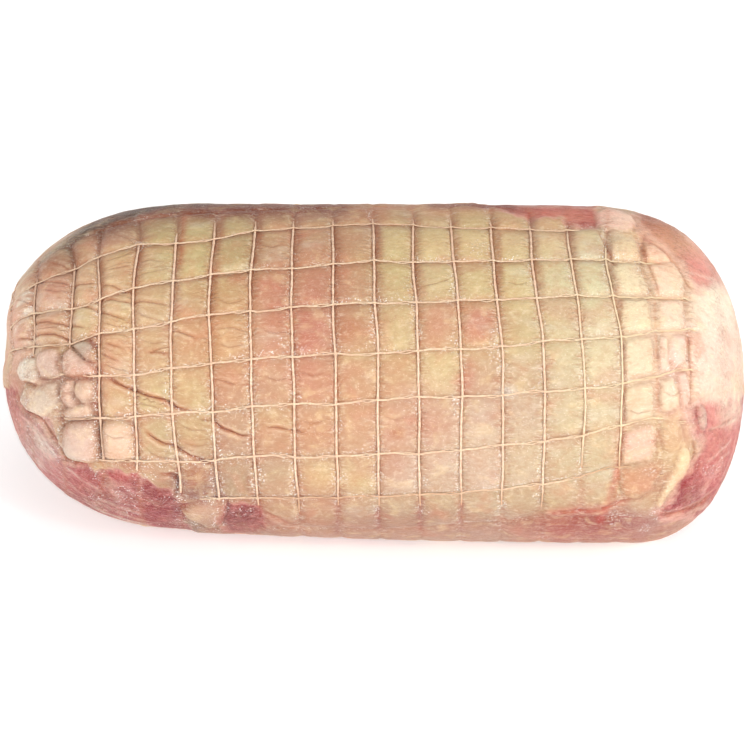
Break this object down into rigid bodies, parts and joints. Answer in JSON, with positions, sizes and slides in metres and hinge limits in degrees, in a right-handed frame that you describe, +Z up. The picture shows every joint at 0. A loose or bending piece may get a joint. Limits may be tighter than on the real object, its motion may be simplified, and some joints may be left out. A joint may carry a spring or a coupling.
{
  "type": "turkey roast",
  "caption": "Boneless raw turkey roast, a long rounded roll under its skin, held in an elastic net and sealed in tight clear film, on a flattened underside.",
  "frame": {"origin": "under the middle of the roast, on the surface that it lies on", "axes": "+X along the roast, +Z up, the shown side faces -Y"},
  "size_m": [0.301, 0.1526, 0.1237],
  "materials": {
    "film": "clear tight vacuum film, glossy and wet underneath",
    "skin_and_meat": "moist raw poultry skin with fat and pink to red meat",
    "net": "off-white elastic cord, soaked"
  },
  "bodies": {
    "root": {"roast_pack": "film"}
  },
  "joints": []
}
